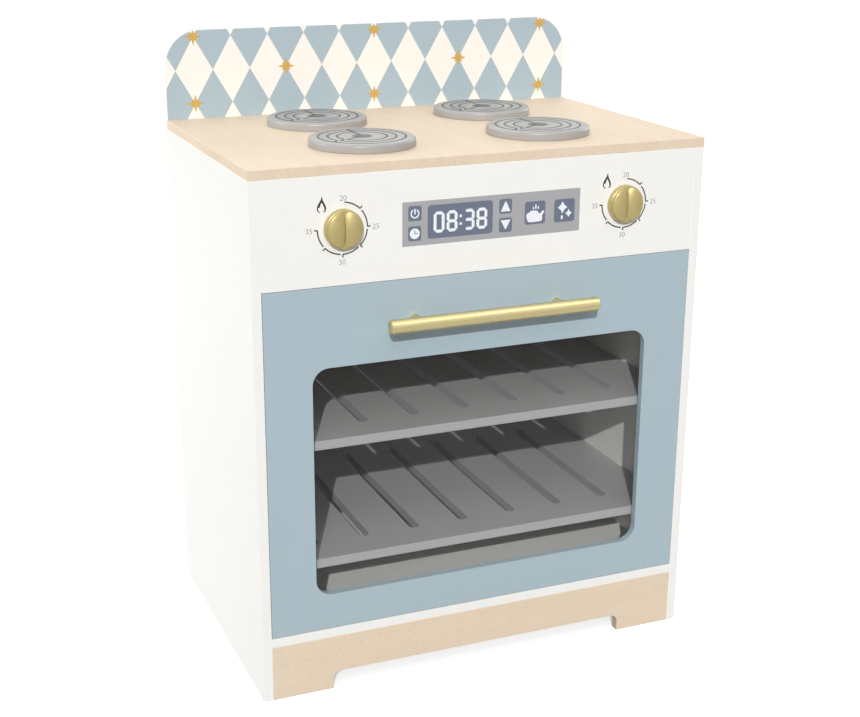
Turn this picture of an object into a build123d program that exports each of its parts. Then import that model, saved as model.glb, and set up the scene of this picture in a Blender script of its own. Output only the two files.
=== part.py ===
from build123d import *
import os
from math import hypot

# A wooden toy oven: a painted board cabinet with a windowed drop-down door, two slotted racks,
# a beech top with four hob plates, two turning knobs and a tall back board.
# Lengths are in millimetres. X runs to the right seen from the front, Y from front to back, Z up.
# The origin is on the floor, under the middle of the whole object with its door handle.

# ---------------------------------------------------------------- driving dimensions
# cabinet boards
cabinet_width = 401.0
cabinet_depth = 258.5          # side panels, from front edge to rear edge
side_height = 445.6
side_thickness = 8.5
base_thickness = 8.0
top_thickness = 8.0
back_thickness = 6.5
back_height = 533.6
back_corner_radius = 33.5
edge_ease = 0.3                # small flat on the boards' edges

# control panel and plinth, both set between the sides and flush with them
panel_thickness = 8.0
panel_height = 88.3
plinth_thickness = 8.0
plinth_height = 49.6
plinth_foot = 53.6             # length of each foot beside the cut-out
plinth_cutout_height = 16.0
plinth_cutout_radius = 7.0

# drop-down door
door_thickness = 8.0
door_side_gap = 0.4
door_top_gap = 0.4
door_pivot_rise = 16.0         # hinge axis above the door's lower edge
door_swing_clearance = 0.1    # the lower corner passes the base by this much
window_width = 304.0
window_height = 200.2
window_sill = 31.7             # door's lower edge to the opening's lower edge
window_radius = 14.0
pane_thickness = 2.0
pane_lap = 7.0                 # how far the pane reaches behind the door round the opening
pane_clearance = 0.3

# hinge pins, their bushes and the pegs that stop the open door
pin_radius = 2.0
pin_running_clearance = 0.05
pin_in_door = 14.0
pin_in_bush = 5.0
bush_wall = 1.5
stop_peg_radius = 2.0
stop_peg_reach = 6.0
stop_peg_clearance = 0.3
peg_depth = 5.0                # blind depth of pegs and pins in a side panel

# bar handle
bar_radius = 6.0
bar_length = 186.0
bar_chamfer = 0.8
bar_standoff = 19.6            # door face to the bar's axis
post_spacing = 128.0
post_radius = 3.3
handle_drop = 32.5             # door's upper edge to the bar's axis

# racks
rack_thickness = 8.0
lower_rack_rise = 61.6         # base's upper face to the lower rack's upper face
upper_rack_rise = 167.5
rack_front_gap = 0.8
rack_rear_gap = 1.0
rack_side_gap = 0.3
slot_count = 7
slot_width = 9.0
slot_pitch = 46.8
slot_margin = 30.0             # solid strip in front of and behind the slots
rack_peg_radius = 2.5
rack_peg_reach = 8.0
rack_peg_inset = 32.0          # rack's front and rear edges to its pegs

# hob plates
burner_radius = 44.5
burner_height = 7.1
burner_rounding = 2.2
burner_base_step = 0.5         # shadow gap at the foot of each plate
burner_spacing_x = 161.0
burner_spacing_y = 115.5
burner_front_inset = 75.0      # top's front edge to the front plates' middle
burner_screw_spacing = 40.0

# knobs
knob_inset = 67.0              # control panel's end to the knob's middle
knob_lift = 1.7                # knobs' middle above the panel's middle
knob_radius = 15.7
knob_reach = 9.2               # panel face to the highest point of the grip
knob_panel_gap = 0.4
skirt_height = 5.6
skirt_rounding = 0.9
lobe_radius = 13.0             # curve of each grip lobe across the knob
lobe_crown_radius = 55.0       # curve of each grip lobe along the knob
lobe_land = 1.0                # rim of the skirt left round the lobes
lobe_corner_radius = 3.6
lobe_rounding = 1.1
stem_radius = 4.0
stem_running_clearance = 0.08
knob_washer_radius = 8.0
knob_washer_thickness = 1.0

# fasteners
dowel_radius = 2.5
dowel_in_face = 5.0            # dowel depth in the face of one board
dowel_in_edge = 13.0           # dowel depth in the edge of the other
base_dowel_shares = (0.2, 0.8)         # of the cabinet's depth
panel_dowel_shares = (0.2, 0.8)        # of the control panel's height
top_dowel_shares = (0.1, 0.5, 0.9)     # of the cabinet's depth
side_screw_shares = (0.05, 0.28, 0.5, 0.72, 0.95)      # of the sides' height
level_screw_shares = (-0.25, 0.0, 0.25)                # of the inner width, from the middle
hole_clearance = 0.1           # radial play of dowels, pegs and screws in their holes
wood_screw_radius = 1.5
wood_screw_length = 22.0
countersink_radius = 3.2
countersink_depth = 1.8
burner_screw_bite = 5.0        # how far the screws enter the hob plates
handle_screw_bite = 9.0        # how far the screws enter the handle posts
small_screw_bite = 0.6         # share of a board's thickness that a small screw enters
machine_screw_radius = 2.0
pan_head_radius = 3.7
pan_head_height = 2.3
pan_head_bevel = 0.9
small_screw_radius = 1.1
small_head_radius = 2.8
small_head_height = 1.5
small_head_bevel = 0.6

# magnetic catch, inside on the right
catch_block_height = 20.0
catch_block_width = 12.0
catch_block_depth = 15.0
catch_ear = 10.0               # screw ear above and below the block
catch_ear_thickness = 2.5
catch_drop = 26.0              # door's upper edge to the catch's middle
catch_gap = 0.3
magnet_width = 5.0
magnet_height = 14.0
magnet_depth = 9.0
strike_radius = 6.0
strike_thickness = 1.0
strike_head_radius = 2.2

# ---------------------------------------------------------------- places worked out from them
handle_reach = bar_standoff + bar_radius
overall_depth = handle_reach + cabinet_depth + back_thickness
front = handle_reach - overall_depth / 2      # front faces of the cabinet and the door
rear = front + cabinet_depth                  # rear edges of the cabinet boards
back_face = rear + back_thickness
inner_width = cabinet_width - 2 * side_thickness
inner_x = inner_width / 2

base_top = plinth_height + base_thickness
panel_bottom = side_height - panel_height
top_surface = side_height + top_thickness
knob_x = inner_x - knob_inset
knob_z = panel_bottom + panel_height / 2 + knob_lift

pivot_corner = hypot(door_thickness / 2, door_pivot_rise)
door_bottom_gap = pivot_corner - door_pivot_rise + door_swing_clearance
door_bottom = base_top + door_bottom_gap
door_top = panel_bottom - door_top_gap
door_width = inner_width - 2 * door_side_gap
door_back = front + door_thickness
pivot_y = front + door_thickness / 2
pivot_z = door_bottom + door_pivot_rise
window_bottom = door_bottom + window_sill
window_z = window_bottom + window_height / 2
handle_z = door_top - handle_drop
bar_y = front - bar_standoff

rack_front = door_back + rack_front_gap
rack_depth = rear - rack_rear_gap - rack_front
rack_tops = {"lower_rack": base_top + lower_rack_rise, "upper_rack": base_top + upper_rack_rise}

pane_y = door_back - pane_thickness
bush_radius = pin_radius + pin_running_clearance + bush_wall
catch_front = door_back + strike_thickness + catch_gap
catch_z = door_top - catch_drop
strike_x = inner_x - catch_block_width / 2
burner_screw_length = top_thickness + burner_screw_bite
handle_screw_length = door_thickness + handle_screw_bite
catch_screw_length = catch_ear_thickness + small_screw_bite * side_thickness
pane_screw_length = pane_thickness + small_screw_bite * (door_thickness - pane_thickness)
strike_screw_length = strike_thickness + small_screw_bite * door_thickness

LOW = (Align.MIN, Align.MIN, Align.MIN)
ROUND = (Align.CENTER, Align.CENTER, Align.MIN)
RIGHT, LEFT = (1, 0, 0), (-1, 0, 0)
BACKWARD, FORWARD = (0, 1, 0), (0, -1, 0)
UP, DOWN = (0, 0, 1), (0, 0, -1)


# ---------------------------------------------------------------- common shapes
def block(left, near, bottom, width, depth, height):
    """A square-edged block from its left, near and bottom faces and its size."""
    return Pos(left, near, bottom) * Box(width, depth, height, align=LOW)


def board(left, near, bottom, width, depth, height):
    """A sawn board with all its edges eased."""
    blank = block(left, near, bottom, width, depth, height)
    return chamfer(blank.edges(), edge_ease)


def rod(start, direction, length, radius):
    """A round bar that starts at a point and runs along a direction."""
    return Plane(origin=start, z_dir=direction) * Cylinder(radius, length, align=ROUND)


def along(point, direction, distance):
    """The point a distance away from another in a direction."""
    return tuple(p + d * distance for p, d in zip(point, direction))


def opposite(direction):
    return tuple(-d for d in direction)


def front_plate(width, height, radius, middle_z, near, depth):
    """A plate parallel to the door with rounded corners, centred on the oven's middle."""
    outline = RectangleRounded(width, height, radius)
    plane = Plane(origin=(0, near, middle_z), x_dir=RIGHT, z_dir=FORWARD)
    return extrude(plane * outline, -depth)


def pan_screw(seat, direction, length, radius, head_radius, head_height, bevel):
    """A screw whose flat-bottomed head stands on its seat and whose shank runs along a direction."""
    head = rod(seat, opposite(direction), head_height, head_radius)
    crown = head.edges().sort_by(Axis(seat, opposite(direction)))[-1]
    return chamfer(crown, bevel) + rod(seat, direction, length, radius)


def countersunk(surface, direction, length, radius, head_radius, head_depth, clearance=0.0):
    """A screw with its head flush with a surface or, with a clearance, the hole for it."""
    plane = Plane(origin=surface, z_dir=direction)
    head = plane * Cone(head_radius, radius, head_depth, align=ROUND)
    return head + rod(surface, direction, length, radius + clearance)


# ---------------------------------------------------------------- where the fasteners go
def dowel_joints():
    """Each dowel's point on its joint and its direction from the drilled face into the edge."""
    joints = []
    for side, inward in ((-1, RIGHT), (1, LEFT)):
        x = side * inner_x
        base_z = plinth_height + base_thickness / 2
        panel_y = front + panel_thickness / 2
        plinth_y = front + plinth_thickness / 2
        for share in base_dowel_shares:
            joints.append(((x, front + share * cabinet_depth, base_z), inward))
        for share in panel_dowel_shares:
            joints.append(((x, panel_y, panel_bottom + share * panel_height), inward))
        joints.append(((x, plinth_y, (plinth_height + plinth_cutout_height) / 2), inward))
        edge_x = side * (inner_x + side_thickness / 2)
        for share in top_dowel_shares:
            joints.append(((edge_x, front + share * cabinet_depth, side_height), DOWN))
        joints.append(((side * inner_width / 4, plinth_y, plinth_height), DOWN))
    return joints


def back_screw_places():
    """Points on the back board's rear face over the edges that its screws bite into."""
    edge_x = inner_x + side_thickness / 2
    places = []
    for side in (-1, 1):
        for share in side_screw_shares:
            places.append((side * edge_x, back_face, share * side_height))
    for level in (plinth_height + base_thickness / 2, side_height + top_thickness / 2):
        for share in level_screw_shares:
            places.append((share * inner_width, back_face, level))
    return places


def rack_peg_places():
    """Where each peg leaves its side panel, with its direction into the oven."""
    places = []
    for rack_top in rack_tops.values():
        peg_z = rack_top - rack_thickness - rack_peg_radius
        for y in (rack_front + rack_peg_inset, rack_front + rack_depth - rack_peg_inset):
            places.append(((-inner_x, y, peg_z), RIGHT))
            places.append(((inner_x, y, peg_z), LEFT))
    return places


def stop_peg_places():
    """Pegs that the door's lower edge comes up against when the door is level."""
    y = pivot_y + door_pivot_rise - stop_peg_radius - door_thickness / 4
    z = pivot_z + door_thickness / 2 + stop_peg_clearance + stop_peg_radius
    return [((-inner_x, y, z), RIGHT), ((inner_x, y, z), LEFT)]


def burner_places():
    """The hob plates' names and middles."""
    places = {}
    for row, y in (("front", front + burner_front_inset),
                   ("rear", front + burner_front_inset + burner_spacing_y)):
        for column, side in (("left", -1), ("right", 1)):
            places[f"burner_{row}_{column}"] = (side * burner_spacing_x / 2, y)
    return places


def burner_screw_places():
    """Where the hob plates' screws pass the underside of the top."""
    places = []
    for x, y in burner_places().values():
        for side in (-1, 1):
            places.append((x + side * burner_screw_spacing / 2, y, side_height))
    return places


def pane_screw_places():
    """The pane's screws, midway across its lap, clear of the racks."""
    x = (window_width + pane_lap) / 2
    half = (window_height + pane_lap) / 2
    inset = window_width / 2 - window_radius
    places = [(-x, window_z), (x, window_z)]
    for share in (-1, 0, 1):
        places.append((share * inset, window_z - half))
        places.append((share * inset, window_z + half))
    return places


def catch_screw_places():
    """The catch's screws, through its ears into the right side panel."""
    reach = (catch_block_height + catch_ear) / 2
    y = catch_front + catch_block_depth / 2
    return [(inner_x - catch_ear_thickness, y, catch_z + side * reach) for side in (-1, 1)]


def dowel_holes():
    """All the dowel holes as one cutter."""
    cutters = []
    for point, direction in dowel_joints():
        start = along(point, direction, -dowel_in_face)
        cutters.append(rod(start, direction, dowel_in_face + dowel_in_edge,
                           dowel_radius + hole_clearance))
    return cutters


def peg_holes():
    """Blind holes in the side panels for the rack pegs, the stop pegs and the hinge bushes."""
    cutters = []
    for places, radius in ((rack_peg_places(), rack_peg_radius), (stop_peg_places(), stop_peg_radius)):
        for point, inward in places:
            cutters.append(rod(point, opposite(inward), peg_depth, radius + hole_clearance))
    for side, outward in ((-1, LEFT), (1, RIGHT)):
        pivot = (side * inner_x, pivot_y, pivot_z)
        cutters.append(rod(pivot, outward, pin_in_bush, bush_radius))
    return cutters


def back_screw_holes():
    """All the back board's screw holes as cutters."""
    return [countersunk(point, FORWARD, wood_screw_length, wood_screw_radius, countersink_radius,
                        countersink_depth, hole_clearance) for point in back_screw_places()]


# ---------------------------------------------------------------- cabinet
def side_panel(side):
    """A side panel that stands on the floor, drilled on its inner face and its edges."""
    left = -cabinet_width / 2 if side < 0 else inner_x
    panel = board(left, front, 0, side_thickness, cabinet_depth, side_height)
    panel = panel - dowel_holes() - peg_holes() - back_screw_holes()
    if side > 0:
        for x, y, z in catch_screw_places():
            panel -= rod((x, y, z), RIGHT, catch_screw_length, small_screw_radius + hole_clearance)
    return panel


def base_panel():
    """The oven's floor, on the plinth between the sides."""
    panel = board(-inner_x, front, plinth_height, inner_width, cabinet_depth, base_thickness)
    return panel - dowel_holes() - back_screw_holes()


def top_panel():
    """The beech worktop that carries the hob plates."""
    panel = board(-cabinet_width / 2, front, side_height, cabinet_width, cabinet_depth, top_thickness)
    for place in burner_screw_places():
        panel -= rod(place, UP, top_thickness, wood_screw_radius + hole_clearance)
    return panel - dowel_holes() - back_screw_holes()


def back_panel():
    """The full-height back board, rounded at its upper corners, that stands up as a splashback."""
    plane = Plane(origin=(0, rear, back_height / 2), x_dir=RIGHT, z_dir=FORWARD)
    outline = Rectangle(cabinet_width, back_height)
    outline = fillet(outline.vertices().group_by(Axis.Y)[-1], back_corner_radius)
    panel = extrude(plane * outline, -back_thickness)
    faces = panel.faces().sort_by(Axis.Y)
    panel = chamfer(faces[0].edges() + faces[-1].edges(), edge_ease)
    return panel - back_screw_holes()


def control_panel():
    """The upright panel over the door, bored for the two knob stems."""
    panel = board(-inner_x, front, panel_bottom, inner_width, panel_thickness, panel_height)
    for side in (-1, 1):
        middle = (side * knob_x, front, knob_z)
        panel -= rod(middle, BACKWARD, panel_thickness, stem_radius + stem_running_clearance)
    return panel - dowel_holes()


def plinth_board():
    """The beech plinth, cut out between two feet."""
    panel = board(-inner_x, front, 0, inner_width, plinth_thickness, plinth_height)
    cut_width = inner_width - 2 * plinth_foot
    outline = Rectangle(cut_width, 2 * plinth_cutout_height)
    outline = fillet(outline.vertices(), plinth_cutout_radius)
    plane = Plane(origin=(0, front, 0), x_dir=RIGHT, z_dir=FORWARD)
    return panel - extrude(plane * outline, -plinth_thickness) - dowel_holes()


def rack(rack_top):
    """A slotted rack, rounded at the slots' ends, that rests on four pegs."""
    width = inner_width - 2 * rack_side_gap
    plate = board(-width / 2, rack_front, rack_top - rack_thickness, width, rack_depth, rack_thickness)
    slot_length = rack_depth - 2 * slot_margin
    slots = [Pos(slot_pitch * (n - (slot_count - 1) / 2), rack_front + rack_depth / 2)
             * SlotOverall(slot_length, slot_width, rotation=90) for n in range(slot_count)]
    cutter = extrude(Pos(0, 0, rack_top - rack_thickness) * Sketch(children=slots), rack_thickness)
    return plate - cutter


def rack_pegs():
    """Eight pegs under the racks."""
    return [rod(along(point, inward, -peg_depth), inward, peg_depth + rack_peg_reach, rack_peg_radius)
            for point, inward in rack_peg_places()]


def stop_pegs():
    """Two pegs that hold the open door level."""
    return [rod(along(point, inward, -peg_depth), inward, peg_depth + stop_peg_reach, stop_peg_radius)
            for point, inward in stop_peg_places()]


def dowels():
    """The glued dowels that join the cabinet's boards."""
    return [rod(along(point, direction, -dowel_in_face), direction,
                dowel_in_face + dowel_in_edge, dowel_radius)
            for point, direction in dowel_joints()]


def back_screws():
    """The wood screws that fix the back board to the edges in front of it."""
    return [countersunk(place, FORWARD, wood_screw_length, wood_screw_radius, countersink_radius,
                        countersink_depth) for place in back_screw_places()]


def hinge_bush(side):
    """A plastic bush in a side panel that the door's pin turns in."""
    outward = LEFT if side < 0 else RIGHT
    mouth = (side * inner_x, pivot_y, pivot_z)
    sleeve = rod(mouth, outward, pin_in_bush, bush_radius)
    return sleeve - rod(mouth, outward, pin_in_bush, pin_radius + pin_running_clearance)


def burner(x, y):
    """A hob plate with a rounded upper edge and a narrow shadow gap at its foot."""
    foot = Pos(x, y, top_surface) * Cylinder(burner_radius - burner_base_step, burner_height / 2,
                                             align=ROUND)
    disc = Pos(x, y, top_surface + burner_base_step) * Cylinder(
        burner_radius, burner_height - burner_base_step, align=ROUND)
    upper_edge = disc.edges().sort_by(Axis.Z)[-1]
    plate = fillet(upper_edge, burner_rounding) + foot
    for side in (-1, 1):
        start = (x + side * burner_screw_spacing / 2, y, side_height)
        plate -= rod(start, UP, burner_screw_length, wood_screw_radius + hole_clearance)
    return plate


def burner_screws():
    """Two screws up into each hob plate from inside the cabinet."""
    return [pan_screw(place, UP, burner_screw_length, wood_screw_radius, pan_head_radius,
                      pan_head_height, pan_head_bevel) for place in burner_screw_places()]


def catch_housing():
    """The moulded case of the magnetic catch, with an ear above and below for its screws."""
    case = block(inner_x - catch_block_width, catch_front, catch_z - catch_block_height / 2,
                 catch_block_width, catch_block_depth, catch_block_height)
    case = chamfer(case.edges().filter_by(Axis.Y), edge_ease)
    ear_length = catch_block_height + 2 * catch_ear
    ears = block(inner_x - catch_ear_thickness, catch_front, catch_z - ear_length / 2,
                 catch_ear_thickness, catch_block_depth, ear_length)
    ears = fillet(ears.edges().filter_by(Axis.X), catch_ear / 3)
    housing = case + ears - catch_magnet()
    for x, y, z in catch_screw_places():
        housing -= rod((x, y, z), RIGHT, catch_ear_thickness, small_screw_radius + hole_clearance)
    return housing


def catch_magnet():
    """The magnet, flush with the front of its case."""
    return block(strike_x - magnet_width / 2, catch_front, catch_z - magnet_height / 2,
                 magnet_width, magnet_depth, magnet_height)


def catch_screws():
    """The catch's two screws."""
    return [pan_screw(place, RIGHT, catch_screw_length, small_screw_radius, small_head_radius,
                      small_head_height, small_head_bevel) for place in catch_screw_places()]


# ---------------------------------------------------------------- door
def door_panel():
    """The door board with its window, the pane's rebate and holes for pins, screws and handle."""
    left = -door_width / 2
    panel = board(left, front, door_bottom, door_width, door_thickness, door_top - door_bottom)
    panel -= front_plate(window_width, window_height, window_radius, window_z, front, door_thickness)
    lap_width = window_width + 2 * pane_lap
    lap_height = window_height + 2 * pane_lap
    panel -= front_plate(lap_width, lap_height, window_radius + pane_lap, window_z, pane_y,
                         pane_thickness)
    for x, z in pane_screw_places():
        panel -= rod((x, door_back, z), FORWARD, pane_screw_length, small_screw_radius + hole_clearance)
    for side, inward in ((-1, RIGHT), (1, LEFT)):
        edge = (side * door_width / 2, pivot_y, pivot_z)
        panel -= rod(edge, inward, pin_in_door, pin_radius + hole_clearance)
        post = (side * post_spacing / 2, front, handle_z)
        panel -= rod(post, BACKWARD, door_thickness, machine_screw_radius + hole_clearance)
    return panel - strike_fastener(hole_clearance)


def door_pane():
    """The clear pane, seated in the door's rebate from behind."""
    width = window_width + 2 * (pane_lap - pane_clearance)
    height = window_height + 2 * (pane_lap - pane_clearance)
    pane = front_plate(width, height, window_radius + pane_lap - pane_clearance, window_z, pane_y,
                       pane_thickness)
    for x, z in pane_screw_places():
        pane -= rod((x, pane_y, z), BACKWARD, pane_thickness, small_screw_radius + hole_clearance)
    return pane


def pane_screws():
    """Small screws whose heads hold the pane in its rebate."""
    return [pan_screw((x, door_back, z), FORWARD, pane_screw_length, small_screw_radius,
                      small_head_radius, small_head_height, small_head_bevel)
            for x, z in pane_screw_places()]


def handle_bar():
    """The round bar of the handle."""
    bar = rod((-bar_length / 2, bar_y, handle_z), RIGHT, bar_length, bar_radius)
    return chamfer(bar.edges().filter_by(GeomType.CIRCLE), bar_chamfer)


def handle_post(side):
    """A handle post, saddled to the bar and tapped for its screw."""
    foot = (side * post_spacing / 2, front, handle_z)
    post = rod(foot, FORWARD, bar_standoff, post_radius)
    saddle = rod((-bar_length / 2, bar_y, handle_z), RIGHT, bar_length, bar_radius)
    thread = rod(foot, FORWARD, handle_screw_length - door_thickness,
                 machine_screw_radius + hole_clearance)
    return post - saddle - thread


def handle_screws():
    """The machine screws that hold the handle from inside the door."""
    seats = [(side * post_spacing / 2, door_back, handle_z) for side in (-1, 1)]
    return [pan_screw(seat, FORWARD, handle_screw_length, machine_screw_radius, pan_head_radius,
                      pan_head_height, pan_head_bevel) for seat in seats]


def hinge_pin(side):
    """A steel pin fixed in the door's edge that turns in the side panel's bush."""
    outward = LEFT if side < 0 else RIGHT
    inner_end = (side * (door_width / 2 - pin_in_door), pivot_y, pivot_z)
    bush_end_play = door_side_gap / 2
    return rod(inner_end, outward, pin_in_door + door_side_gap + pin_in_bush - bush_end_play, pin_radius)


def strike_plate():
    """The steel disc on the door that the magnet holds."""
    disc = rod((strike_x, door_back, catch_z), BACKWARD, strike_thickness, strike_radius)
    return disc - strike_fastener(hole_clearance)


def strike_fastener(clearance=0.0):
    """The countersunk screw that holds the disc or, with a clearance, the hole for it."""
    surface = (strike_x, door_back + strike_thickness, catch_z)
    return countersunk(surface, FORWARD, strike_screw_length, small_screw_radius, strike_head_radius,
                       strike_thickness - edge_ease / 2, clearance)


# ---------------------------------------------------------------- knobs
def knob_plane(side):
    """The knob's own frame: its middle on the panel, X to the right and Z out of the oven."""
    middle = (side * knob_x, front, knob_z)
    return Plane(origin=middle, x_dir=RIGHT, z_dir=FORWARD)


def grip_lobe(side):
    """Half of the grip: a D-shaped pad crowned both ways, with its corners rounded."""
    reach = knob_radius - lobe_land
    half = Circle(reach) & Pos(side * reach / 2, 0) * Rectangle(reach, 2 * reach)
    half = fillet(half.vertices(), lobe_corner_radius)
    pad = extrude(Pos(0, 0, skirt_height / 2) * half, knob_reach - skirt_height / 2)
    # a barrel whose axis lies across the panel, under the middle of the pad
    axis_z = knob_reach - lobe_radius
    crown_middle = lobe_radius - lobe_crown_radius
    profile = Pos(crown_middle, 0) * Circle(lobe_crown_radius) & Pos(lobe_radius / 2, 0) * Rectangle(
        lobe_radius, 4 * knob_radius)
    barrel = revolve(profile, Axis.Y)
    pad = pad & Pos(side * reach / 2, 0, axis_z) * barrel
    crown_edges = pad.faces().sort_by(Axis.Z)[-1].edges()
    return fillet(crown_edges, lobe_rounding)


def knob(side):
    """A round knob with a skirt, a grip of two crowned lobes and a stem through the panel."""
    skirt = Pos(0, 0, knob_panel_gap) * Cylinder(knob_radius, skirt_height - knob_panel_gap,
                                                 align=ROUND)
    skirt = fillet(skirt.edges().sort_by(Axis.Z)[-1], skirt_rounding)
    stem_length = knob_panel_gap * 2 + panel_thickness
    stem = Pos(0, 0, -panel_thickness - knob_panel_gap) * Cylinder(stem_radius, stem_length,
                                                                   align=ROUND)
    body = skirt + grip_lobe(-1) + grip_lobe(1) + stem
    thread = Pos(0, 0, -panel_thickness - knob_panel_gap) * Cylinder(
        wood_screw_radius + hole_clearance, panel_thickness, align=ROUND)
    return knob_plane(side) * (body - thread)


def knob_washer(side):
    """The washer behind the panel that keeps the knob in."""
    place = (side * knob_x, front + panel_thickness + knob_panel_gap, knob_z)
    disc = rod(place, BACKWARD, knob_washer_thickness, knob_washer_radius)
    return disc - rod(place, BACKWARD, knob_washer_thickness, wood_screw_radius + hole_clearance)


def knob_screw(side):
    """The screw up the middle of the knob's stem."""
    seat = (side * knob_x, front + panel_thickness + knob_panel_gap + knob_washer_thickness,
            knob_z)
    return pan_screw(seat, FORWARD, knob_washer_thickness + panel_thickness, wood_screw_radius,
                     pan_head_radius, pan_head_height, pan_head_bevel)


# ---------------------------------------------------------------- all the pieces
def pieces():
    """Each node's name with its solid, or its list of identical solids."""
    made = {
        "left_side_panel": side_panel(-1),
        "right_side_panel": side_panel(1),
        "base_panel": base_panel(),
        "top_panel": top_panel(),
        "back_panel": back_panel(),
        "control_panel": control_panel(),
        "plinth_board": plinth_board(),
        "rack_pegs": rack_pegs(),
        "stop_pegs": stop_pegs(),
        "dowels": dowels(),
        "back_screws": back_screws(),
        "left_hinge_bush": hinge_bush(-1),
        "right_hinge_bush": hinge_bush(1),
        "burner_screws": burner_screws(),
        "catch_housing": catch_housing(),
        "catch_magnet": catch_magnet(),
        "catch_screws": catch_screws(),
        "door_panel": door_panel(),
        "door_pane": door_pane(),
        "pane_screws": pane_screws(),
        "handle_bar": handle_bar(),
        "left_handle_post": handle_post(-1),
        "right_handle_post": handle_post(1),
        "handle_screws": handle_screws(),
        "left_hinge_pin": hinge_pin(-1),
        "right_hinge_pin": hinge_pin(1),
        "strike_plate": strike_plate(),
        "strike_screw": strike_fastener(),
    }
    for name, rack_top in rack_tops.items():
        made[name] = rack(rack_top)
    for name, (x, y) in burner_places().items():
        made[name] = burner(x, y)
    for name, side in (("left", -1), ("right", 1)):
        made[f"{name}_knob"] = knob(side)
        made[f"{name}_knob_washer"] = knob_washer(side)
        made[f"{name}_knob_screw"] = knob_screw(side)
    return made


os.makedirs("parts", exist_ok=True)
for node, solid in pieces().items():
    if isinstance(solid, list):
        solid = Compound(children=solid)
    export_step(solid, f"parts/{node}.step")
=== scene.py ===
"""A wooden toy oven, dressed on its construction model as a small Blender add-on.

Lengths are in metres. X runs to the right seen from the front, Y from front to back, Z up.
"""

import math

import bmesh
import bpy
from mathutils import Matrix, Vector


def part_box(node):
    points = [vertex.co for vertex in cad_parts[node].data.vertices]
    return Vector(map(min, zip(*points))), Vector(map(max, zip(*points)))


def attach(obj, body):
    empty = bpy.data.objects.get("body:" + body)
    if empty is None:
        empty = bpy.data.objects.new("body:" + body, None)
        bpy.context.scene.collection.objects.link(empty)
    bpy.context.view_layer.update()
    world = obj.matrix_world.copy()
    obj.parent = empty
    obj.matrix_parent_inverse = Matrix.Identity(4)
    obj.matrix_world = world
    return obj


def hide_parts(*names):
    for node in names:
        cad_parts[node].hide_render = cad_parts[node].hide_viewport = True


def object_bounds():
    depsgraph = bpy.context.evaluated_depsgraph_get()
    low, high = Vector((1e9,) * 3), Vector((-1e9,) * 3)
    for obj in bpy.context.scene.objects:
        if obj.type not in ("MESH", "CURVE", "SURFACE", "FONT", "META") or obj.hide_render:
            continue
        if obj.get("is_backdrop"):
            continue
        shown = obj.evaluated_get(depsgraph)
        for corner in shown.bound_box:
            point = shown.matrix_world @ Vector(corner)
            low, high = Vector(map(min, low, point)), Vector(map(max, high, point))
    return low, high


bl_info = {
    "name": "Toy Oven",
    "version": (1, 0, 0),
    "blender": (4, 5, 0),
    "location": "View3D > Sidebar > Toy Oven",
    "description": "Paint, beech, prints, hob plates, knobs, handle and screws of a toy oven",
    "category": "Object",
}

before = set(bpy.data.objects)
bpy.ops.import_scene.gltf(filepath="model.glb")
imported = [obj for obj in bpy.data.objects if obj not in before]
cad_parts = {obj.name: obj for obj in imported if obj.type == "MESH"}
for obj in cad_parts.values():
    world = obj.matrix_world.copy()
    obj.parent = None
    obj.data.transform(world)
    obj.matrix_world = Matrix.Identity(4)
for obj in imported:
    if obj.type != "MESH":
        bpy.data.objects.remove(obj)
MM = 0.001
CABINET, DOOR = "cabinet", "door"
KNOBS = {"left_knob": "left_knob_turning", "right_knob": "right_knob_turning"}
PLATES = ("burner_front_left", "burner_front_right", "burner_rear_left", "burner_rear_right")
FORWARD, UP, RIGHT = (0.0, -1.0, 0.0), (0.0, 0.0, 1.0), (1.0, 0.0, 0.0)
QUARTER, FULL = math.pi / 2, 2.0 * math.pi
UPRIGHT = (QUARTER, 0.0, 0.0)          # turns flat work to face out of the oven
WELD = 1e-6                            # points nearer to each other than this are joined

PANEL_LOW, PANEL_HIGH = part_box("control_panel")
SPLASH_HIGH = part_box("back_panel")[1]
TOP_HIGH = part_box("top_panel")[1]


# ---------------------------------------------------------------- what a user may change
def colour(name, description, default):
    """A colour property, in linear light."""
    return bpy.props.FloatVectorProperty(
        name=name, description=description, default=default, subtype="COLOR", size=3, min=0.0, max=1.0)


def length(name, description, default):
    """A length property."""
    return bpy.props.FloatProperty(
        name=name, description=description, default=default, min=0.0, unit="LENGTH", subtype="DISTANCE",
        precision=5)


def angle(name, description, degrees):
    """An angle property, given in degrees."""
    return bpy.props.FloatProperty(
        name=name, description=description, default=math.radians(degrees), unit="ROTATION", subtype="ANGLE")


def amount(name, description, default):
    """A plain number property."""
    return bpy.props.FloatProperty(name=name, description=description, default=default, min=0.0)


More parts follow.
